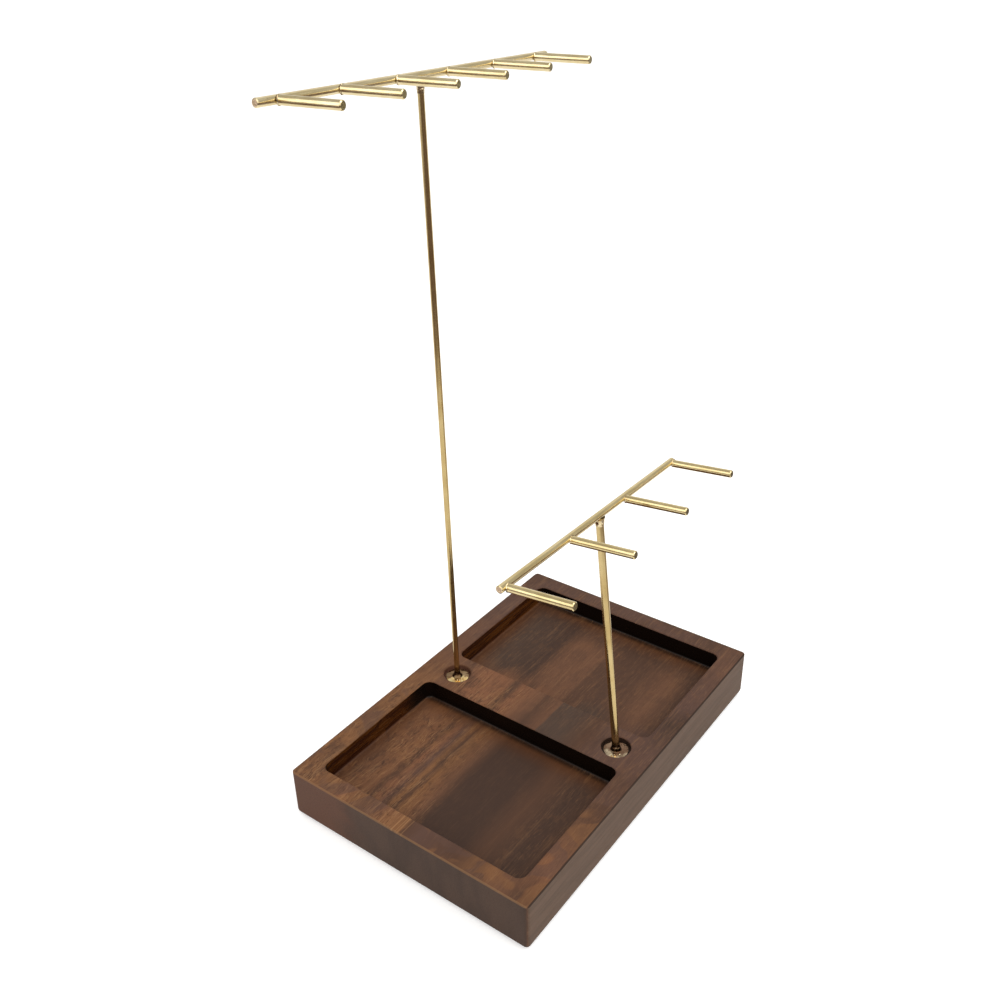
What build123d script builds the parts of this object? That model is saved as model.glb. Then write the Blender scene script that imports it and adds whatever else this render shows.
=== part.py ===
"""Jewelry stand: a solid wooden board with two trays and two brass wire combs.

The board lies along X. Two trays are milled into it, one each side of a bridge that
runs along Y. A comb stands at each end of the bridge: a tall one at the back (+Y) and a
short one in front (-Y). A comb is a rod, a crossbar on top of it and a row of pegs that
point forward (-Y). It turns on the threaded stud under its foot.

Millimetres and degrees. +Z up. The origin is on the table, under the board's middle.
"""
import os

from build123d import *

# ---- board ----
board_length = 240.0
board_depth = 160.0
board_thickness = 31.0
board_corner_radius = 2.5
board_top_edge = 0.8
board_bottom_edge = 3.0

# ---- trays ----
rim = 12.0
bridge_width = 30.0
tray_depth = 12.5
tray_corner_radius = 5.0
tray_floor_radius = 1.5
tray_lip_edge = 0.5

# ---- seats of the combs, at the two ends of the bridge ----
seat_inset = 23.0
recess_radius = 8.5
recess_depth = 3.2
recess_lip_edge = 0.4

# ---- felt pads under the corners ----
pad_radius = 7.0
pad_thickness = 1.5
pad_inset = 16.0

# ---- foot of a comb: disc, coned boss and stud, turned in one piece ----
disc_radius = 7.0
disc_thickness = 1.2
disc_crown = 0.35
disc_edge = 0.25
disc_running_gap = 0.2
boss_height = 1.6
boss_base_radius = 3.0
boss_wall = 0.45
boss_fillet = 0.5
stud_radius = 2.0
stud_length = 10.0
stud_point = 0.5

# ---- threaded insert that the stud turns in ----
insert_radius = 3.0
insert_length = 12.0
insert_edge = 0.3
thread_clearance = 0.05
glue_line = 0.05
hole_runout = 1.0

# ---- wire and its joints ----
bar_radius = 2.0
peg_radius = 2.15
wire_end_edge = 0.4
weld_bite = 0.4
braze_gap = 0.05

# ---- tall comb ----
tall_rod_radius = 1.63
tall_height = 350.0
tall_lean_back = 0.8
tall_lean_side = 0.0
tall_swivel = 1.1
tall_droop = 2.0
tall_bar_length = 209.0
tall_bar_reach = 103.2
tall_peg_count = 6
tall_first_peg = 11.7
tall_last_peg = 11.8
tall_peg_length = 33.5
tall_peg_skew = 5.4
tall_peg_lift = -0.5
tall_peg_drop = 0.0

# ---- short comb ----
short_rod_radius = 2.15
short_height = 145.5
short_lean_back = 7.6
short_lean_side = 2.8
short_swivel = 2.1
short_droop = 1.2
short_bar_length = 175.0
short_bar_reach = 91.1
short_peg_count = 4
short_first_peg = 5.0
short_last_peg = 2.0
short_peg_length = 37.8
short_peg_skew = -2.1
short_peg_lift = -1.4
short_peg_drop = 0.7

# ---- derived places ----
board_bottom = pad_thickness
board_top = board_bottom + board_thickness
recess_floor = board_top - recess_depth
disc_bottom = recess_floor + disc_running_gap
disc_top = disc_bottom + disc_thickness
stud_end = disc_bottom - stud_length
tray_length = (board_length - 2 * rim - bridge_width) / 2
tray_width = board_depth - 2 * rim
tray_pitch = tray_length + bridge_width
seat_spacing = board_depth - 2 * seat_inset
tall_seat_y = seat_spacing / 2
short_seat_y = -seat_spacing / 2
# The first and last pegs stand off the two ends of their crossbar, the rest between them.
tall_peg_pitch = (tall_bar_length - tall_first_peg - tall_last_peg) / (tall_peg_count - 1)
short_peg_pitch = (short_bar_length - short_first_peg - short_last_peg) / (short_peg_count - 1)

os.makedirs("parts", exist_ok=True)


def save(piece, name):
    """Label a finished piece and write it to its own file."""
    piece.part.label = name
    export_step(piece.part, f"parts/{name}.step")


# ---- base board: a glued-up block of wood, milled from above ----
with BuildPart() as base_board:
    with BuildSketch(Plane.XY.offset(board_bottom)):
        RectangleRounded(board_length, board_depth, board_corner_radius)
    extrude(amount=board_thickness)
    fillet(base_board.faces().sort_by(Axis.Z)[0].edges(), board_bottom_edge)
    fillet(base_board.faces().sort_by(Axis.Z)[-1].edges(), board_top_edge)

    # Two trays, rounded at their corners and where their walls meet the floor.
    with BuildSketch(Plane.XY.offset(board_top)):
        with GridLocations(tray_pitch, 0, 2, 1):
            RectangleRounded(tray_length, tray_width, tray_corner_radius)
    extrude(amount=-tray_depth, mode=Mode.SUBTRACT)
    tray_floors = base_board.faces().filter_by(Axis.Z).group_by(Axis.Z)[-2]
    fillet(tray_floors.edges(), tray_floor_radius)
    top_face = base_board.faces().filter_by(Axis.Z).sort_by(Axis.Z)[-1]
    chamfer(top_face.inner_wires().edges(), tray_lip_edge)

    # A round recess for each comb's disc, over a blind hole for its insert.
    with Locations(Plane.XY.offset(board_top)):
        with Locations((0, tall_seat_y), (0, short_seat_y)):
            CounterBoreHole(
                radius=insert_radius + glue_line,
                counter_bore_radius=recess_radius,
                counter_bore_depth=recess_depth,
                depth=recess_depth + insert_length + hole_runout,
            )
    top_circles = base_board.edges().filter_by(GeomType.CIRCLE).group_by(Axis.Z)[-1]
    chamfer(top_circles.filter_by(lambda edge: edge.radius == recess_radius), recess_lip_edge)
save(base_board, "base_board")


# ---- felt pads: stuck on near the four corners ----
pad_x = board_length / 2 - pad_inset
pad_y = board_depth / 2 - pad_inset
pad_places = {
    "front_left": (-pad_x, -pad_y),
    "front_right": (pad_x, -pad_y),
    "back_left": (-pad_x, pad_y),
    "back_right": (pad_x, pad_y),
}
for corner, place in pad_places.items():
    with BuildPart() as felt_pad:
        with BuildSketch():
            with Locations(place):
                Circle(pad_radius)
        extrude(amount=pad_thickness)
    save(felt_pad, f"felt_pad_{corner}")


def make_insert(name, seat_y):
    """Threaded brass sleeve, glued in flush with the floor of the recess."""
    bore = stud_radius + thread_clearance
    with BuildPart() as insert:
        with BuildSketch(Plane.XZ.offset(-seat_y)) as wall:
            with Locations((bore, recess_floor - insert_length)):
                Rectangle(insert_radius - bore, insert_length, align=Align.MIN)
            chamfer(wall.vertices().group_by(Axis.Y)[-1], insert_edge)
        revolve(axis=Axis((0, seat_y, 0), (0, 0, 1)))
    save(insert, name)


def make_foot(name, seat_y, rod_foot, rod_radius):
    """Disc with a coned boss above it and a stud below it. The rod stands in the boss."""
    boss_top = disc_top + boss_height
    with BuildPart() as foot:
        with BuildSketch(Plane.XZ.offset(-seat_y)) as profile:
            with BuildLine():
                boss_side = Polyline(
                    (boss_base_radius, disc_top),
                    (rod_radius + boss_wall, boss_top),
                    (0, boss_top),
                    (0, stud_end),
                    (stud_radius - stud_point, stud_end),
                    (stud_radius, stud_end + stud_point),
                    (stud_radius, disc_bottom),
                    (disc_radius - disc_edge, disc_bottom),
                    (disc_radius, disc_bottom + disc_edge),
                    (disc_radius, disc_top - disc_crown),
                )
                TangentArc(boss_side @ 0, boss_side @ 1, tangent=(1, 0))
            make_face()
            boss_corner = profile.vertices().sort_by_distance((boss_base_radius, disc_top))[0]
            fillet(boss_corner, boss_fillet)
        revolve(axis=Axis((0, seat_y, 0), (0, 0, 1)))
        # The socket follows the rod's lean and ends where the rod ends.
        with BuildSketch(Plane(rod_foot)):
            Circle(rod_radius + braze_gap)
        extrude(amount=2 * boss_height, mode=Mode.SUBTRACT)
    save(foot, name)


def make_crossbar(name, bar_start, length):
    """Straight wire from its near end, eased at both ends."""
    with BuildPart() as crossbar:
        with BuildSketch(Plane(bar_start)):
            Circle(bar_radius)
        extrude(amount=length)
        chamfer(crossbar.edges().filter_by(GeomType.CIRCLE), wire_end_edge)
    save(crossbar, name)


def make_comb(
    name, seat_y, rod_radius, height, lean_back, lean_side, swivel, droop, bar_length,
    bar_reach, peg_count, peg_pitch, first_peg, peg_length, peg_skew, peg_lift, peg_drop,
):
    """One comb: foot, rod, crossbar and pegs, each piece in its own file."""
    # At the rod's foot local Z runs up the rod, and local X along a level crossbar.
    rod_foot = Location((0, seat_y, disc_top)) * Rotation(0, 0, swivel)
    rod_foot = rod_foot * Rotation(0, lean_side, 0) * Rotation(-lean_back, 0, 0)
    make_foot(f"{name}_foot", seat_y, rod_foot, rod_radius)

    # The crossing is where the axes of the rod and the crossbar meet.
    crossing = rod_foot * Pos(0, 0, height) * Rotation(0, droop, 0)
    bar_start = crossing * Pos(-bar_reach, 0, 0) * Rotation(0, 90, 0)
    make_crossbar(f"{name}_crossbar", bar_start, bar_length)

    # The flat ends of the rod and the pegs bite a little into the crossbar's round side.
    with BuildPart() as groove:
        with BuildSketch(Plane(bar_start)):
            Circle(bar_radius + braze_gap)
        extrude(amount=bar_length)
    weld_depth = bar_radius - weld_bite
    with BuildPart() as rod:
        with BuildSketch(Plane(rod_foot)):
            Circle(rod_radius)
        extrude(amount=height - weld_depth)
        add(groove.part, mode=Mode.SUBTRACT)
    save(rod, f"{name}_rod")

    for i in range(peg_count):
        along = first_peg + i * peg_pitch - bar_reach
        peg_axis = crossing * Pos(along, 0, -peg_drop) * Rotation(0, 0, peg_skew)
        peg_root = peg_axis * Rotation(90 - peg_lift, 0, 0) * Pos(0, 0, weld_depth)
        with BuildPart() as peg:
            with BuildSketch(Plane(peg_root)):
                Circle(peg_radius)
            extrude(amount=peg_length - weld_depth)
            tip = peg.faces().sort_by(Axis(peg_root.position, Plane(peg_root).z_dir))[-1]
            chamfer(tip.edges(), wire_end_edge)
            add(groove.part, mode=Mode.SUBTRACT)
        save(peg, f"{name}_peg_{i + 1}")


# ---- inserts, then the two combs ----
make_insert("tall_insert", tall_seat_y)
make_insert("short_insert", short_seat_y)
make_comb(
    "tall", tall_seat_y, tall_rod_radius, tall_height, tall_lean_back, tall_lean_side,
    tall_swivel, tall_droop, tall_bar_length, tall_bar_reach, tall_peg_count,
    tall_peg_pitch, tall_first_peg, tall_peg_length, tall_peg_skew, tall_peg_lift,
    tall_peg_drop,
)
make_comb(
    "short", short_seat_y, short_rod_radius, short_height, short_lean_back, short_lean_side,
    short_swivel, short_droop, short_bar_length, short_bar_reach, short_peg_count,
    short_peg_pitch, short_first_peg, short_peg_length, short_peg_skew, short_peg_lift,
    short_peg_drop,
)
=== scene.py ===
"""Jewelry stand: a dark oiled wooden board with two trays and two brazed brass combs."""
import math
import bpy
from mathutils import Matrix, Vector


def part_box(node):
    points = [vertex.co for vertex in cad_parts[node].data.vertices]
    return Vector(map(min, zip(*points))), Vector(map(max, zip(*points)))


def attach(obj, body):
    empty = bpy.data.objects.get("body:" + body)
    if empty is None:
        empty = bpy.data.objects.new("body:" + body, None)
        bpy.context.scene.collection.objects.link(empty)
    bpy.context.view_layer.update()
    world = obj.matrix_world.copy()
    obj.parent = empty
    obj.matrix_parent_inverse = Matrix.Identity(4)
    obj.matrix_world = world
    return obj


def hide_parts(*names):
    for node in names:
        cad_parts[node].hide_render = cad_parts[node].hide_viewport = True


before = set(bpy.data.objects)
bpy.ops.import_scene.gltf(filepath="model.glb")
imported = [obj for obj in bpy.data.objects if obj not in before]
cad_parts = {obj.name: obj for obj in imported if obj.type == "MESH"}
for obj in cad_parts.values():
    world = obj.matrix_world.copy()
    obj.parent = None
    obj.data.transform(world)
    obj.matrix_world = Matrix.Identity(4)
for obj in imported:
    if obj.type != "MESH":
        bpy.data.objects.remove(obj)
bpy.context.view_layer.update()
bpy.ops.object.select_all(action="DESELECT")


# ---- base board ----
# One glued-up block of dark hardwood, its grain along X, milled from above with a
# round-cornered cutter, sanded, stained brown and rubbed with oil.
def plug(tree, socket, term):
    """Link a value to a socket, or write a plain number or colour on it."""
    if isinstance(term, Value):
        tree.links.new(term.socket, socket)
    else:
        socket.default_value = term


class Value:
    """A shader socket that takes Python's arithmetic."""

    def __init__(self, tree, socket):
        self.tree, self.socket = tree, socket

    def maths(self, operation, *others, flip=False):
        """One Math node on this value and the others, or on them in reverse order."""
        node = self.tree.nodes.new("ShaderNodeMath")
        node.operation = operation
        terms = [self, *others]
        for socket, term in zip(node.inputs, reversed(terms) if flip else terms):
            plug(self.tree, socket, term)
        return Value(self.tree, node.outputs[0])

    def __add__(self, other):
        return self.maths("ADD", other)

    def __sub__(self, other):
        return self.maths("SUBTRACT", other)

    def __rsub__(self, other):
        return self.maths("SUBTRACT", other, flip=True)

    def __mul__(self, other):
        return self.maths("MULTIPLY", other)

    def __pow__(self, other):
        return self.maths("POWER", other)

    def __abs__(self):
        return self.maths("ABSOLUTE")

    def most(self, other):
        """The greater of the two."""
        return self.maths("MAXIMUM", other)

    __radd__, __rmul__ = __add__, __mul__


class Finish:
    """A material under construction: its nodes, its shader and its object coordinates."""

    def __init__(self, name):
        self.material = bpy.data.materials.new(name)
        self.material.use_nodes = True
        self.tree = self.material.node_tree
        self.shader = self.tree.nodes["Principled BSDF"]
        self.place = self.value("ShaderNodeTexCoord", {}, {}, "Object")
        axes = self.node("ShaderNodeSeparateXYZ", {}, {"Vector": self.place})
        self.x, self.y, self.z = (Value(self.tree, axes.outputs[axis]) for axis in "XYZ")

    def node(self, kind, settings, inputs):
        """Any node: its settings first, then the values or links of its sockets."""
        node = self.tree.nodes.new(kind)
        for name, setting in settings.items():
            if name == "stops":
                ramp = node.color_ramp
                while len(ramp.elements) < len(setting):
                    ramp.elements.new(0.5)
                for stop, (position, colour) in zip(ramp.elements, setting):
                    stop.position, stop.color = position, (*colour, 1)
            else:
                setattr(node, name, setting)
        for name, term in inputs.items():
            plug(self.tree, node.inputs[name], term)
        return node

    def value(self, kind, settings, inputs, output=0):
        return Value(self.tree, self.node(kind, settings, inputs).outputs[output])

    def at(self, x, y, z):
        return self.value("ShaderNodeCombineXYZ", {}, {"X": x, "Y": y, "Z": z})

    def noise(self, place, scale, detail=3.0, roughness=0.55, distortion=0.0):
        return self.value(
            "ShaderNodeTexNoise", {},
            {"Vector": place, "Scale": scale, "Detail": detail, "Roughness": roughness,
             "Distortion": distortion},
        )

    def step(self, term, low, high):
        """0 below low, 1 above high, smooth between them. low may be the greater."""
        if low > high:
            return 1.0 - self.step(term, high, low)
        return self.value(
            "ShaderNodeMapRange", {"interpolation_type": "SMOOTHSTEP"},
            {"Value": term, "From Min": low, "From Max": high},
        )

    def mix(self, amount, first, second):
        """Two colours, each a value or three numbers, mixed by an amount."""
        first, second = (c if isinstance(c, Value) else (*c, 1) for c in (first, second))
        sockets = {0: amount, 6: first, 7: second}
        return self.value("ShaderNodeMix", {"data_type": "RGBA"}, sockets, output=2)

    def bump(self, height, strength, distance):
        return self.value(
            "ShaderNodeBump", {}, {"Height": height, "Strength": strength, "Distance": distance}
        )

    def surface(self, **terms):
        """What the shader's own sockets get: values that vary, and plain numbers."""
        for name, term in terms.items():
            plug(self.tree, self.shader.inputs[name.replace("_", " ")], term)


def shade(red, green, blue):
    """A colour as a maker would match it on a screen, made linear for the shader."""
    return tuple(
        c / 12.92 if c <= 0.04045 else ((c + 0.055) / 1.055) ** 2.4
        for c in (red / 255, green / 255, blue / 255)
    )


def coat(piece, finish):
    """Give a piece its finish in place of any other."""
    piece.data.materials.clear()
    piece.data.materials.append(finish.material)


# Millimetres from the board's middle, and down from its top face.
wood = Finish("oiled_dark_wood")
MM = 1000.0
x, y, z = wood.x * MM, wood.y * MM, wood.z * MM
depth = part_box("base_board")[1].z * MM - z
half_length, half_width = 120.0, 80.0
bridge_edge, tray_end, tray_side = 15.0, 108.0, 68.0
tray_middle = (bridge_edge + tray_end) / 2
tray_depth = 12.5

# Named tones of the timber under its stain. Some of them also paint shade and highlight:
# in the trays, on their walls and along the top edges.
golden, honey, shadow_amber = shade(116, 79, 51), shade(154, 114, 78), shade(84, 48, 22)
tan, copper, umber = shade(106, 71, 49), shade(116, 77, 54), shade(78, 54, 41)
russet, mauve, ash = shade(98, 67, 49), shade(84, 61, 52), shade(72, 56, 47)
slate, charred, shadow_black = shade(62, 45, 37), shade(34, 22, 16), shade(14, 8, 5)


def tones_along(term, low, high, *stops):
    """A colour that changes from tone to tone along a term, given millimetre by tone."""
    share = wood.value(
        "ShaderNodeMapRange", {}, {"Value": term, "From Min": low, "From Max": high}
    )
    stops = [((place - low) / (high - low), tone) for place, tone in stops]
    return wood.value("ShaderNodeValToRGB", {"stops": stops}, {"Fac": share})


# The grain wanders a little, and curls in the left tray's back corner. Every scale is in
# cycles per millimetre, and is least along the grain.
wander = wood.noise(wood.at(x * 0.011, y * 0.04, z * 0.04), 1.0, 2.0) - 0.5
swirl = wood.noise(wood.at(x * 0.055, y * 0.12, z * 0.12), 1.0, 3.0) - 0.5
curly = wood.step(y, 30, 44) * wood.step(x, -16, -34)
across = y + wander * 5.0 + swirl * (1.6 + 7.0 * curly)


def grain(along, over, up, detail, roughness):
    """Noise drawn out along the grain."""
    place = wood.at(x * along, across * over, z * up)
    return wood.noise(place, 1.0, detail, roughness)


fibre = grain(0.075, 1.0, 0.9, 5.0, 0.75)
streak = grain(0.020, 0.42, 0.30, 5.0, 0.68)
silk = grain(0.07, 2.4, 2.0, 3.0, 0.7)
fleck = grain(0.20, 1.5, 1.3, 4.0, 0.75)
pores = wood.step(grain(0.12, 2.8, 2.8, 2.0, 0.6), 0.66, 0.75)
cloud = wood.noise(wood.at(x * 0.022, y * 0.035, z * 0.05 + 7.7), 1.0, 4.0, 0.6)
mottle = wood.noise(wood.at(x * 0.10, y * 0.16, z * 0.16 + 3.1), 1.0, 4.0, 0.65)
patch = wood.noise(
    wood.at(x * 0.045 + y * 0.02, y * 0.050, z * 0.05 + 1.3), 1.0, 2.0, 0.5, 0.6
)

# Top face: the bridge, then the left rim, the right rim, the back rim and the front rim.
bridge = tones_along(
    y + wander * 2.0 + swirl * 1.5, -80, 80, (-80, mauve), (-50, mauve), (-38, umber),
    (-25, ash), (-12.8, ash), (-12.0, russet), (-2, umber), (2, russet), (16, copper),
    (19, umber), (22, umber), (25, copper), (42, copper), (52, russet), (80, russet),
)
left_rim = tones_along(
    y + wander * 4.0 + swirl * 5.0, -80, 80, (-80, umber), (-60, russet), (-45, golden),
    (-32, umber), (-8, mauve), (1, umber), (4, golden), (14, copper), (22, russet),
    (35, golden), (44, copper), (52, golden), (80, russet),
)
back_rim = tones_along(
    x + cloud * 40, -120, 160, (-120, russet), (-70, golden), (-10, golden), (35, russet),
    (100, mauve), (150, umber),
)
front_rim = tones_along(
    x + cloud * 50, -120, 160, (-120, umber), (-88, umber), (-66, copper), (-48, russet),
    (-25, umber), (30, mauve), (62, slate), (80, mauve), (160, russet),
)
right_rim = wood.mix(wood.step(cloud, 0.35, 0.65), umber, mauve)
top = wood.mix(wood.step(x, -50, -75), bridge, left_rim)
top = wood.mix(wood.step(x, 40, 75), top, right_rim)
top = wood.mix(wood.step(y + cloud * 6, 64, 70), top, back_rim)
top = wood.mix(wood.step(y + cloud * 6, -62, -68), top, front_rim)

# Tray floors: the cutter has opened deeper wood, so their figure is their own. Painted shade
# makes them browner towards their right and back walls, and black along the right one.
left_floor = tones_along(
    across, -70, 70, (-70, umber), (-52, slate), (-34, umber), (-22, slate), (3, slate),
    (7, umber), (10, russet), (14, tan), (20, golden), (24, umber), (27, golden),
    (31, mauve), (36, copper), (40, umber), (44, tan), (60, tan), (70, umber),
)
right_floor = tones_along(
    across, -70, 70, (-70, slate), (-60, umber), (-47, russet), (-30, umber), (-24, umber),
    (-4, umber), (0, russet), (20, russet), (26, umber), (30, slate), (33, slate),
    (55, ash), (64, umber),
)
right_floor = wood.mix(wood.step(x + cloud * 20, 88, 108) * 0.6, right_floor, slate)
right_floor = wood.mix(wood.step(x + cloud * 40, 62, 40), right_floor, bridge)
right_half = wood.step(x, -2, 2)
to_right_wall = right_half * (bridge_edge + tray_end) - bridge_edge - x
to_back_wall = tray_side - y
shadowed = wood.step(to_right_wall + cloud * 8, 20, 4)
shadowed = shadowed.most(wood.step(to_back_wall + cloud * 5, 12, 2) * 0.8)
floor_tone = wood.mix(right_half, left_floor, right_floor)
floor_tone = wood.mix(shadowed * 0.75, floor_tone, shadow_amber)
floor_tone = wood.mix(wood.step(to_right_wall, 5, 1) * 0.8, floor_tone, shadow_black)
in_tray = wood.step(depth, 0.7, 1.3)
tone = wood.mix(in_tray, top, floor_tone)

# Large patches on the rims.
on_rim = wood.step(depth, 0.7, 0.5) * wood.step(abs(x), 18, 40)
tone = wood.mix(wood.step(patch, 0.47, 0.40) * 0.6 * on_rim, tone, mauve)
golden_patch = wood.step(patch, 0.53, 0.60) * 0.55 * on_rim * wood.step(x, 20, -60)
tone = wood.mix(golden_patch, tone, golden)

# Mottle, streaks, flecks and fibres. They are strong in the back half on the left, and
# faint along the front, on the right and in the trays' shadowed edges.
lively = wood.step(y + cloud * 16, 10, 24) * wood.step(x, 60, -20) * 0.7
lively = lively * (1.0 - shadowed * in_tray * 0.8)
lively = lively * (0.55 + wood.step(patch, 0.40, 0.58) * 0.75)
lively = lively.most(wood.step(y, -36, -46) * 0.22).most(wood.step(x, -14, 14) * 0.26) + 0.06
for amount, stain in (
    (wood.step(mottle, 0.50, 0.40) * 0.65, umber),
    (wood.step(mottle, 0.53, 0.62) * 0.45, golden),
    (wood.step(streak, 0.48, 0.36) * 0.30, charred),
    (wood.step(streak, 0.53, 0.66) * 0.35, honey),
    (wood.step(fleck, 0.48, 0.36) * 0.60, charred),
    (wood.step(fibre, 0.53, 0.64) * 0.50, honey),
    (wood.step(fleck, 0.56, 0.70) * 0.45, honey),
):
    tone = wood.mix(amount * lively, tone, stain)
tone = wood.mix(wood.step(silk, 0.55, 0.75) * 0.12, tone, honey)
tone = wood.mix(wood.step(cloud, 0.50, 0.38) * 0.25, tone, slate)
tone = wood.mix(pores * (0.15 + lively * 0.5), tone, charred)

# Outer sides: end grain at the two ends, long grain in front and behind.
end_grain = wood.noise(wood.at(x * 0.3, y * 1.1, z * 1.1), 1.0, 4.0, 0.7)
end_bands = wood.noise(wood.at(0.0, y * 0.055, z * 0.02), 1.0, 4.0, 0.55)
end_tone = wood.mix(wood.step(end_bands, 0.32, 0.68), shade(62, 47, 39), shade(74, 56, 46))
end_tone = wood.mix(wood.step(y + cloud * 30, 42, 66), end_tone, shade(88, 59, 45))
end_tone = wood.mix(wood.step(end_grain, 0.55, 0.40) * 0.20, end_tone, charred)
side_tone = wood.mix(wood.step(streak, 0.35, 0.65), shade(84, 66, 53), shade(97, 76, 62))
side_tone = wood.mix(wood.step(fibre, 0.50, 0.30) * 0.20, side_tone, umber)
outside_long = wood.step(abs(y), half_width - 0.8, half_width - 0.2)
outside_end = wood.step(abs(x), half_length - 0.8, half_length - 0.2)
tone = wood.mix(outside_long, tone, side_tone)
tone = wood.mix(outside_end, tone, end_tone)

# Milled tray walls are painted dark as the shade inside the trays: nearly black across the
# grain, where the end grain also drinks more stain, dark red along it, and black along it
# next to the bridge. The two seats' walls on the bridge are painted a plainer brown as shade,
# darker at the front seat.
inside = wood.step(abs(x), tray_end + 2.0, tray_end + 1.0)
inside = inside * wood.step(abs(y), tray_side + 2.0, tray_side + 1.0)
wall = wood.step(depth, 0.5, 1.0) * wood.step(depth, tray_depth - 0.05, tray_depth - 0.9)
wall = wall * inside
cross_wall = wood.step(abs(abs(x) - tray_middle), 40.0, 46.0)
along_wall_shade = wood.mix(wood.step(streak, 0.42, 0.60), shade(44, 18, 6), shade(74, 40, 12))
by_bridge = wood.step(x, -42, -26) * wood.step(x, 1.0 - bridge_edge, -bridge_edge)
along_wall_shade = wood.mix(by_bridge, along_wall_shade, shadow_black)
seat_wall_shade = wood.mix(wood.step(y, 0, -20), shade(98, 66, 52), shade(52, 37, 30))
wall_shade_tone = wood.mix(cross_wall, along_wall_shade, shade(9, 4, 2))
wall_shade_tone = wood.mix(wood.step(abs(x), 12.0, 11.0), wall_shade_tone, seat_wall_shade)
tone = wood.mix(wall, tone, wall_shade_tone)

# Fine pale lines are painted in the left rim as a highlight where its silk catches the light.
# The left top edge is painted pale as a highlight, and the front one dark as shade.
on_top = wood.step(depth, 1.0, 0.7)
fine_lines = wood.step(wood.noise(wood.at(x * 0.02, y * 1.6, z * 0.3), 1.0, 2.0), 0.50, 0.64)
silky = wood.step(abs(y - 5.0), 7.0, 3.0) * wood.step(x, -98, -106) * on_top
left_edge_highlight = wood.step(x, 0.9 - half_length, 0.5 - half_length) * on_top
front_edge_shade = wood.step(y, 0.9 - half_width, 0.5 - half_width) * on_top
tone = wood.mix(silky * fine_lines * 0.55, tone, honey)
tone = wood.mix(left_edge_highlight * 0.35, tone, honey)
tone = wood.mix(front_edge_shade * 0.75, tone, charred)

relief = fibre * 0.6 + silk * 0.3 - pores * 0.9
wood.surface(
    Base_Color=tone,
    Roughness=(0.46 + fibre * 0.16 + pores * 0.15) * (1.0 - wall * 0.5),
    Normal=wood.bump(relief, strength=0.25, distance=0.0002),
    IOR=1.45,
    Specular_IOR_Level=0.15,
)
coat(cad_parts["base_board"], wood)


# ---- felt pads ----
# Four discs punched from dark brown pressed felt and glued on under the corners. Their
# cut edges have worn a little round.
felt = Finish("pressed_felt")
felt_x, felt_y, felt_z = felt.x * MM, felt.y * MM, felt.z * MM
nap = felt.noise(felt.at(felt_x * 2.6, felt_y * 2.6, felt_z * 4.0), 1.0, 5.0, 0.75, 1.2)
lint = felt.noise(felt.at(felt_x * 0.5, felt_y * 0.5, felt_z * 0.7 + 4.0), 1.0, 3.0, 0.6)
felt_tone = felt.mix(felt.step(nap, 0.34, 0.70), shade(38, 27, 21), shade(84, 64, 50))
felt_tone = felt.mix(felt.step(lint, 0.62, 0.78) * 0.5, felt_tone, shade(120, 100, 82))
felt.surface(
    Base_Color=felt_tone,
    Roughness=0.86 + nap * 0.12,
    Normal=felt.bump(nap, strength=0.7, distance=0.0004),
    Sheen_Weight=0.35,
    Sheen_Roughness=0.6,
    Specular_IOR_Level=0.15,
)

# One disc is punched and worn at the origin, and a copy of it goes under each corner.
worn = 0.0003
low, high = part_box("felt_pad_front_left")
bpy.ops.mesh.primitive_cylinder_add(
    vertices=72, radius=(high.x - low.x) / 2 - worn, depth=high.z - low.z
)
disc = bpy.context.object
bpy.ops.object.mode_set(mode="EDIT")
bpy.ops.mesh.select_all(action="SELECT")
bpy.ops.mesh.bevel(offset=worn, segments=3, affect="EDGES")
bpy.ops.mesh.select_all(action="SELECT")
bpy.ops.mesh.normals_make_consistent(inside=False)
bpy.ops.object.mode_set(mode="OBJECT")
bpy.ops.object.shade_smooth_by_angle(angle=math.radians(40))
disc.select_set(False)
coat(disc, felt)
for corner in ("front_left", "front_right", "back_left", "back_right"):
    name = f"felt_pad_{corner}"
    low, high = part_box(name)
    pad = bpy.data.objects.new(name + "_cut", disc.data.copy())
    bpy.context.scene.collection.objects.link(pad)
    pad.data.transform(Matrix.Translation((low + high) / 2))
    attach(pad, "base")
    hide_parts(name)
bpy.data.objects.remove(disc)


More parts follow.
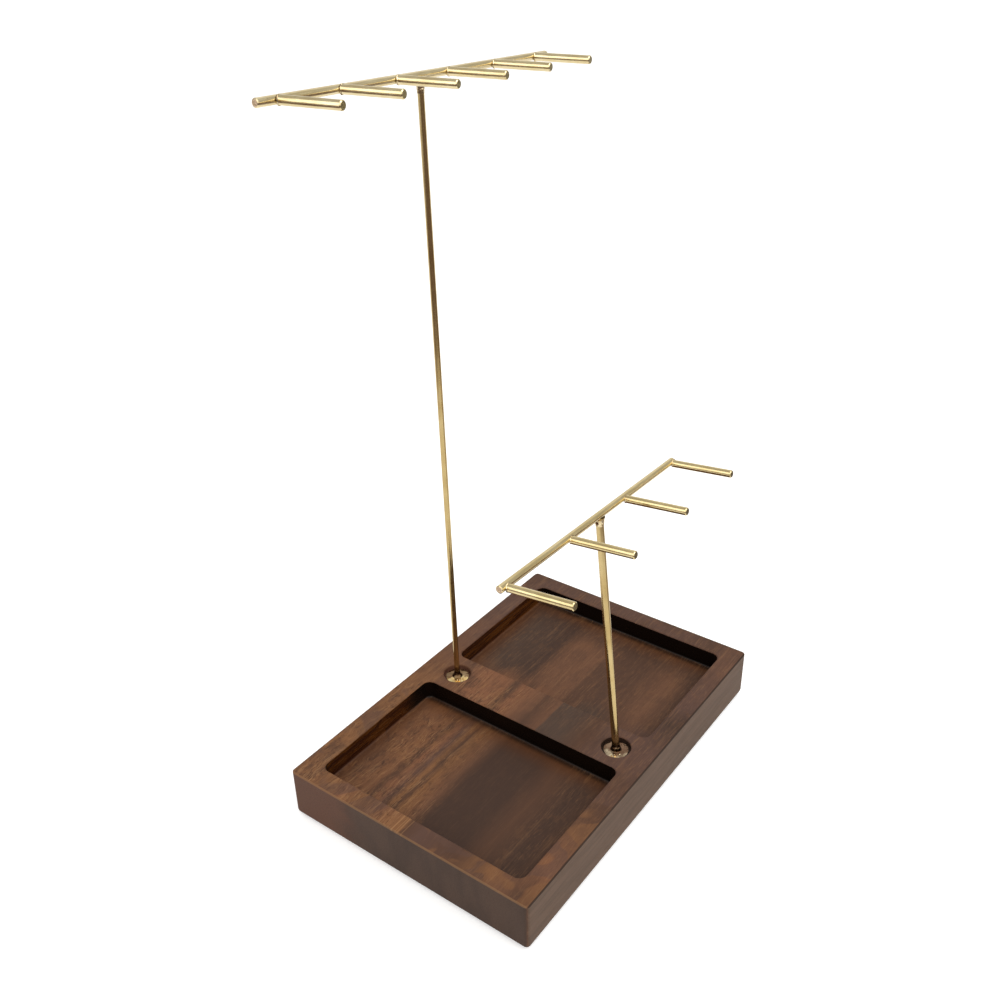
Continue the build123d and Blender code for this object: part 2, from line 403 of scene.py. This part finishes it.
# ---- brass wire: rods, crossbars and pegs ----
# Drawn brass wire cut to length, polished lengthwise and lacquered a pale champagne gold.
# The rods and pegs are sawn off and left dull, and the crossbars' ends are filed and painted
# lighter as the light on them.
def wire_finish(name, lengthwise, dull, bright, end_dull, end_bright):
    """Brass with die lines along one axis, between a dull and a bright tone."""
    wire = Finish(name)
    stretched = [
        term * (60.0 if axis == lengthwise else 1400.0)
        for axis, term in zip("XYZ", (wire.x, wire.y, wire.z))
    ]
    lines = wire.noise(wire.at(*stretched), 1.0, 3.0, 0.6)
    tarnish = wire.noise(wire.place, 46.0, 4.0, 0.6)
    specks = wire.step(wire.noise(wire.place, 620.0, 2.0, 0.5), 0.70, 0.78)
    tone = wire.mix(wire.step(tarnish, 0.35, 0.68), dull, bright)
    tone = wire.mix(wire.step(lines, 0.60, 0.36) * 0.35, tone, shade(188, 164, 112))
    tone = wire.mix(specks * 0.35, tone, shade(120, 98, 60))
    facing = wire.value("ShaderNodeTexCoord", {}, {}, "Normal")
    endways = wire.value("ShaderNodeSeparateXYZ", {}, {"Vector": facing}, lengthwise)
    cut_end = wire.step(abs(endways), 0.90, 0.96)
    saw_marks = wire.noise(wire.place, 1500.0, 3.0, 0.6)
    end_tone = wire.mix(wire.step(saw_marks, 0.4, 0.6), end_dull, end_bright)
    wire.surface(
        Base_Color=wire.mix(cut_end, tone, end_tone),
        Roughness=0.13 + lines * 0.08 + wire.step(tarnish, 0.45, 0.30) * 0.08 + cut_end * 0.2,
        Normal=wire.bump(lines + tarnish * 0.5, strength=0.12, distance=0.00012),
        Metallic=1.0,
    )
    return wire


# One brass in three tones: pale on the tall comb as the lit copy, and deeper on the rods and
# olive on the short comb as painted shade, for the darker room they mirror.
lit_pale = (shade(222, 204, 158), shade(236, 221, 181))
shaded_deep = (shade(190, 165, 112), shade(206, 184, 134))
shaded_olive = (shade(214, 195, 145), shade(228, 210, 164))
sawn = (shade(112, 100, 66), shade(150, 136, 96))
# Filed ends, painted lighter as the light on them.
lit_filed = (shade(176, 150, 122), shade(226, 202, 172))
finishes = {
    ("tall", "rod"): wire_finish("tall_rod_brass", "Z", *shaded_deep, *sawn),
    ("tall", "crossbar"): wire_finish("tall_bar_brass", "X", *lit_pale, *lit_filed),
    ("tall", "peg"): wire_finish("tall_peg_brass", "Y", *lit_pale, *sawn),
    ("short", "rod"): wire_finish("short_rod_brass", "Z", *shaded_deep, *sawn),
    ("short", "crossbar"): wire_finish("short_bar_brass", "X", *shaded_olive, *lit_filed),
    ("short", "peg"): wire_finish("short_peg_brass", "Y", *shaded_olive, *sawn),
}
for name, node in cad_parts.items():
    finish = finishes.get(tuple(name.split("_")[:2]))
    if finish:
        coat(node, finish)


# ---- feet and inserts ----
# Turned brass. The disc's face was buffed by hand, so it is a little uneven and mirrors
# the room in crumpled patches. The stud below and the insert around it are threaded.
disc_radius, boss_radius = 0.0070, 0.0030
disc_and_boss_height = 0.0028
thread_pitch = 0.0007


def turned_finish(node, thread_top, lit_side, dull, bright):
    """Brass turned about the upright axis through a node's middle, threaded below a height."""
    turned = Finish(f"{node}_brass")
    low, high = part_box(node)
    dx = turned.x - (low.x + high.x) / 2
    dy = turned.y - (low.y + high.y) / 2
    out = (dx * dx + dy * dy) ** 0.5
    rings = turned.noise(turned.at(out * 2600.0, 0.0, 0.0), 1.0, 2.0, 0.5)
    dents = turned.noise(turned.place, 150.0, 3.0, 0.45, 0.5)
    tarnish = turned.noise(turned.place, 190.0, 4.0, 0.6)
    phase = turned.z * (2 * math.pi / thread_pitch) - dy.maths("ARCTAN2", dx)
    threaded = turned.step(turned.z, thread_top, thread_top - 0.0004)
    toward_lit_side = (dx * lit_side[0] + dy * lit_side[1]) * (1 / disc_radius) + (tarnish - 0.5) * 1.4
    on_boss = turned.step(out, boss_radius + 0.0006, boss_radius)
    tone = turned.mix(turned.step(tarnish, 0.38, 0.64), dull, bright)
    # Painted reflection and shade: brown away from the lit side, dark on the boss round the
    # rod's foot.
    tone = turned.mix(turned.step(toward_lit_side, 0.45, 0.10) * 0.85, tone, shade(112, 82, 62))
    tone = turned.mix(on_boss * 0.9, tone, shade(84, 58, 38))
    relief = dents * (1.0 - threaded) + phase.maths("SINE") * threaded * 0.5 + rings * 0.04
    turned.surface(
        Base_Color=tone,
        Roughness=0.10 + turned.step(tarnish, 0.5, 0.3) * 0.14 + threaded * 0.15,
        Normal=turned.bump(relief, strength=0.6, distance=0.0016),
        Metallic=1.0,
    )
    return turned


# The two feet are the same brass in two tones as painted reflection: gold on the tall one,
# darker and greyer on the short one.
for side, lit_side, dull, bright in (
    ("tall", (-0.80, -0.60), shade(228, 188, 122), shade(254, 232, 174)),
    ("short", (-0.95, -0.25), shade(146, 126, 104), shade(232, 212, 178)),
):
    foot_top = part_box(f"{side}_foot")[1].z
    disc_bottom = foot_top - disc_and_boss_height
    for node, thread_top in ((f"{side}_foot", disc_bottom), (f"{side}_insert", foot_top)):
        coat(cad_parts[node], turned_finish(node, thread_top, lit_side, dull, bright))


# ---- brazing ----
# Pale brass braze that has set lumpy: a bead round each peg at its crossbar, a fillet up
# each rod at both ends, and two drops on each foot. Burnt flux has left dark lines in it,
# and the fillets at the feet are painted dark as the shade and dark reflection at the rods'
# feet.
braze = Finish("brass_braze")
foot_shade_from, foot_shade_to = 0.0312, 0.0400
lump = braze.noise(braze.place, 900.0, 3.0, 0.6)
flux = braze.noise(braze.place, 420.0, 3.0, 0.6, 0.8)
foot_shade = braze.step(braze.z, foot_shade_to, foot_shade_to - 0.0040)
foot_shade = foot_shade * braze.step(braze.z, foot_shade_from, foot_shade_from + 0.0006)
braze_tone = braze.mix(braze.step(lump, 0.35, 0.65), shade(206, 180, 132), shade(240, 226, 190))
braze_tone = braze.mix(braze.step(flux, 0.48, 0.40) * 0.8, braze_tone, shade(74, 52, 32))
braze_tone = braze.mix(foot_shade * 0.9, braze_tone, shade(80, 54, 34))
braze.surface(
    Base_Color=braze_tone,
    Roughness=0.16 + braze.step(flux, 0.5, 0.35) * 0.25,
    Normal=braze.bump(lump, strength=0.35, distance=0.0003),
    Metallic=1.0,
)
lumps = bpy.data.textures.new("braze_lumps", "CLOUDS")
lumps.noise_scale = 0.0016


def along_wire(place, direction):
    """A place on a wire, with local Z out along the wire and local X along the crossbar."""
    facing = Vector(direction).normalized()
    along = Vector((1, 0, 0)) - facing * facing.x
    along.normalize()
    turn = Matrix((along, facing.cross(along), facing)).transposed().to_4x4()
    return Matrix.Translation(place) @ turn


def set_lumpy(piece, height, middle):
    """Swell a piece here and there as braze does, by up to a height about a middle level."""
    swell = piece.modifiers.new("lumps", "DISPLACE")
    swell.texture, swell.texture_coords = lumps, "GLOBAL"
    swell.strength, swell.mid_level = height, middle
    bpy.ops.object.modifier_apply(modifier="lumps")


def bead(name, place, direction, wire_radius, thickness, saddle):
    """A lumpy ring of braze round a wire's end, dished to sit against the crossbar."""
    bpy.ops.mesh.primitive_torus_add(
        major_segments=32, minor_segments=12, major_radius=wire_radius, minor_radius=thickness
    )
    ring = bpy.context.object
    ring.name = name
    bpy.ops.object.mode_set(mode="EDIT")
    for reach, share in ((0.30, 0.30), (0.55, 0.30), (0.80, 0.40)):
        bpy.ops.mesh.select_all(action="DESELECT")
        bpy.ops.object.mode_set(mode="OBJECT")
        for vertex in ring.data.vertices:
            vertex.select = abs(vertex.co.y) > reach * wire_radius
        bpy.ops.object.mode_set(mode="EDIT")
        bpy.ops.transform.translate(value=(0, 0, -saddle * share))
    bpy.ops.mesh.select_all(action="DESELECT")
    bpy.ops.object.mode_set(mode="OBJECT")
    ring.data.transform(along_wire(place, direction))
    set_lumpy(ring, height=0.00035, middle=0.5)
    smooth = ring.modifiers.new("smooth", "SUBSURF")
    smooth.levels = smooth.render_levels = 1
    bpy.ops.object.modifier_apply(modifier="smooth")
    bpy.ops.object.shade_smooth()
    ring.select_set(False)
    return ring


def fillet(name, place, direction, wire_radius, spread, side_spread, climb, lump_height):
    """Braze that has climbed a wire from its joint in a lumpy hollow curve. At its foot it
    spreads along X by one amount and sideways by another, and climb is its height."""
    bpy.ops.mesh.primitive_circle_add(vertices=40, radius=wire_radius, fill_type="NGON")
    cone = bpy.context.object
    cone.name = name
    bpy.ops.object.mode_set(mode="EDIT")
    bpy.ops.mesh.select_all(action="SELECT")
    length, width = wire_radius + spread, wire_radius + side_spread
    bpy.ops.transform.resize(value=(length / wire_radius, width / wire_radius, 1))
    for rise, share in (
        (0.10, 0.90), (0.11, 0.66), (0.14, 0.44), (0.18, 0.26), (0.22, 0.15), (0.25, 0.08),
    ):
        bpy.ops.mesh.extrude_region_move(
            TRANSFORM_OT_translate={"value": (0, 0, rise * climb)}
        )
        next_length, next_width = wire_radius + share * spread, wire_radius + share * side_spread
        bpy.ops.transform.resize(value=(next_length / length, next_width / width, 1))
        length, width = next_length, next_width
    bpy.ops.mesh.select_all(action="SELECT")
    bpy.ops.mesh.normals_make_consistent(inside=False)
    bpy.ops.object.mode_set(mode="OBJECT")
    cone.data.transform(along_wire(place, direction))
    set_lumpy(cone, height=lump_height, middle=0.40)
    bpy.ops.object.shade_smooth_by_angle(angle=math.radians(60))
    cone.select_set(False)
    return cone


def drop(name, place, width):
    """A drop of braze that has set on the disc."""
    bpy.ops.mesh.primitive_uv_sphere_add(segments=24, ring_count=14, radius=width / 2)
    blob = bpy.context.object
    blob.name = name
    bpy.ops.object.mode_set(mode="EDIT")
    bpy.ops.mesh.select_all(action="SELECT")
    bpy.ops.transform.resize(value=(1.0, 0.85, 0.75))
    bpy.ops.object.mode_set(mode="OBJECT")
    blob.data.transform(Matrix.Translation(place))
    bpy.ops.object.shade_smooth()
    blob.select_set(False)
    return blob


def wire_end(node, axis, sign):
    """The middle of a wire's end, and the direction along the wire from there. The end is
    the one farthest up an axis, or farthest down it where sign is -1."""
    end_zone = 0.0012
    points = [vertex.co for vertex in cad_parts[node].data.vertices]
    near = max(sign * point[axis] for point in points) - end_zone
    far = min(sign * point[axis] for point in points) + end_zone
    root = [point for point in points if sign * point[axis] > near]
    tip = [point for point in points if sign * point[axis] < far]
    root, tip = (sum(group, Vector()) / len(group) for group in (root, tip))
    return root, (tip - root).normalized()


for side, pegs, rod_radius, top_climb, top_spread, top_lumps, drop_places in (
    ("tall", 6, 0.00163, 0.0060, 0.0014, 0.00022, ((-0.0037, -0.0028), (-0.0027, -0.0040))),
    ("short", 4, 0.00215, 0.0040, 0.0019, 0.00045, ((-0.0046, -0.0015), (-0.0027, -0.0040))),
):
    beads = []
    for i in range(1, pegs + 1):
        root, out = wire_end(f"{side}_peg_{i}", 1, 1)
        beads.append(bead(
            f"{side}_bead_{i}", root + out * 0.0006, out,
            wire_radius=0.00202, thickness=0.00042, saddle=0.0007,
        ))
    root, out = wire_end(f"{side}_rod", 2, 1)
    beads.append(fillet(
        f"{side}_top_fillet", root + out * 0.0001, out, wire_radius=rod_radius + 0.00008,
        spread=top_spread, side_spread=0.0002, climb=top_climb, lump_height=top_lumps,
    ))
    beads.append(bead(
        f"{side}_top_run", root + out * top_climb * 0.78, out,
        wire_radius=rod_radius - 0.0001, thickness=0.00046, saddle=0.0007,
    ))
    foot_end, out = wire_end(f"{side}_rod", 2, -1)
    beads.append(fillet(
        f"{side}_foot_fillet", foot_end + out * 0.0014, out, wire_radius=rod_radius,
        spread=0.0005, side_spread=0.0005, climb=0.0028, lump_height=0.00045,
    ))
    foot_low, foot_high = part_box(f"{side}_foot")
    disc_middle = (foot_low + foot_high) / 2
    for i, (drop_x, drop_y) in enumerate(drop_places, 1):
        spot = (disc_middle.x + drop_x, disc_middle.y + drop_y, foot_high.z - 0.0017)
        beads.append(drop(f"{side}_solder_drop_{i}", spot, width=0.0012))
    for piece in beads:
        piece.select_set(True)
    bpy.context.view_layer.objects.active = beads[0]
    bpy.ops.object.join()
    brazing = bpy.context.object
    brazing.name = f"{side}_brazing"
    coat(brazing, braze)
    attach(brazing, f"{side}_comb")
    brazing.select_set(False)


# ---- floor, lights and camera ----
# A sheet of white paper, a grey room and two softboxes. To glossy rays the paper is painted:
# white and faintly glowing near the stand, towards the back right and far to the left, with a
# painted shadow in front on the right, and dim brown elsewhere.
bpy.ops.mesh.primitive_plane_add(size=30)
floor = bpy.context.object
floor.name = "studio_floor"
paper = Finish("white_paper")
white, dim_brown = (0.80, 0.80, 0.80), (0.115, 0.068, 0.058)
seen_glow, mirrored_glow = 0.40, 0.15
rays = paper.node("ShaderNodeLightPath", {}, {})
seen = Value(paper.tree, rays.outputs["Is Camera Ray"])
mirrored = Value(paper.tree, rays.outputs["Is Glossy Ray"])
away = paper.value("ShaderNodeVectorMath", {"operation": "LENGTH"}, {"Vector": paper.place}, 1)
toward_light = paper.step(paper.x + paper.y * 1.15, 0.10, 0.30)
far_left = paper.step(away, 1.2, 2.0)
far_left = far_left * paper.step(paper.y, -0.3, 0.4) * paper.step(paper.y, 1.7, 1.2)
front_shade = paper.step(paper.y, -0.12, -0.20) * paper.step(paper.x, 0.05, 0.15)
front_shade = front_shade * paper.step(paper.x, 0.76, 0.66)
lit = toward_light.most(paper.step(away, 0.62, 0.46)).most(far_left * 0.7)
lit = lit * (1.0 - front_shade * 0.75)
paper.surface(
    Base_Color=paper.mix(lit.most(1.0 - mirrored), dim_brown, white),
    Roughness=0.9,
    Emission_Color=(1, 1, 1, 1),
    Emission_Strength=seen * seen_glow + mirrored * lit * mirrored_glow,
)
coat(floor, paper)

# The room: grey walls and ceiling, a bright quarter overhead towards the front, and a
# paler wall far to the right.
world = bpy.data.worlds.new("studio")
bpy.context.scene.world = world
world.use_nodes = True
sky = world.node_tree.nodes
ray = sky.new("ShaderNodeTexCoord")
direction = sky.new("ShaderNodeSeparateXYZ")
world.node_tree.links.new(ray.outputs["Generated"], direction.inputs[0])


def window(*sides):
    """A part of the room that is bright between a dark and a bright place on each axis."""
    share = 1.0
    for axis, (dark, bright) in enumerate(sides):
        side = sky.new("ShaderNodeMapRange")
        side.interpolation_type = "SMOOTHSTEP"
        side.inputs["From Min"].default_value = min(dark, bright)
        side.inputs["From Max"].default_value = max(dark, bright)
        side.inputs["To Min"].default_value = 0.0 if dark < bright else 1.0
        side.inputs["To Max"].default_value = 1.0 if dark < bright else 0.0
        world.node_tree.links.new(direction.outputs[axis], side.inputs["Value"])
        share = Value(world.node_tree, side.outputs[0]) * share
    return share


overhead = window((0.60, 0.15), (0.40, -0.05), (-0.02, 0.25))
right_wall = window((0.45, 0.70), (-0.15, 0.35), (-0.02, 0.20))
walls = 0.58
glow = overhead * 0.95 + right_wall * 0.38 + walls
plug(world.node_tree, sky["Background"].inputs["Strength"], glow)
sky["Background"].inputs["Color"].default_value = (1, 0.985, 0.96, 1)


def softbox(name, place, target, width, height, power):
    """A rectangular lamp of a width and height in metres and a power in watts."""
    lamp = bpy.data.lights.new(name, "AREA")
    lamp.shape, lamp.size, lamp.size_y, lamp.energy = "RECTANGLE", width, height, power
    box = bpy.data.objects.new(name, lamp)
    bpy.context.scene.collection.objects.link(box)
    box.location = place
    box.rotation_mode = "QUATERNION"
    box.rotation_quaternion = (Vector(target) - Vector(place)).to_track_quat("-Z", "Y")


softbox("key_softbox", (0.30, -0.80, 1.35), (0, 0, 0.1), width=1.0, height=1.0, power=6)
softbox("side_softbox", (-0.95, 0.58, 0.85), (-0.1, 0.1, 0.55), width=0.6, height=1.0, power=2.6)

# The camera stands in front on the left, looks down at the stand and is tipped a little.
lens = bpy.data.cameras.new("camera")
lens.lens, lens.sensor_width, lens.clip_start, lens.clip_end = 39.128, 36.0, 0.01, 100
camera = bpy.data.objects.new("camera", lens)
bpy.context.scene.collection.objects.link(camera)
bpy.context.scene.camera = camera
camera_place = (-0.40682, -0.28408, 0.46034)
azimuth, elevation, roll = (math.radians(a) for a in (-53.128, 29.918, -1.262))
back = Vector((
    math.sin(azimuth) * math.cos(elevation),
    -math.cos(azimuth) * math.cos(elevation),
    math.sin(elevation),
))
right_hand = Vector((math.cos(azimuth), math.sin(azimuth), 0))
level = Matrix((right_hand, back.cross(right_hand), back)).transposed().to_4x4()
camera.matrix_world = Matrix.Translation(camera_place) @ level @ Matrix.Rotation(roll, 4, "Z")

bpy.context.scene.view_settings.view_transform = "Standard"
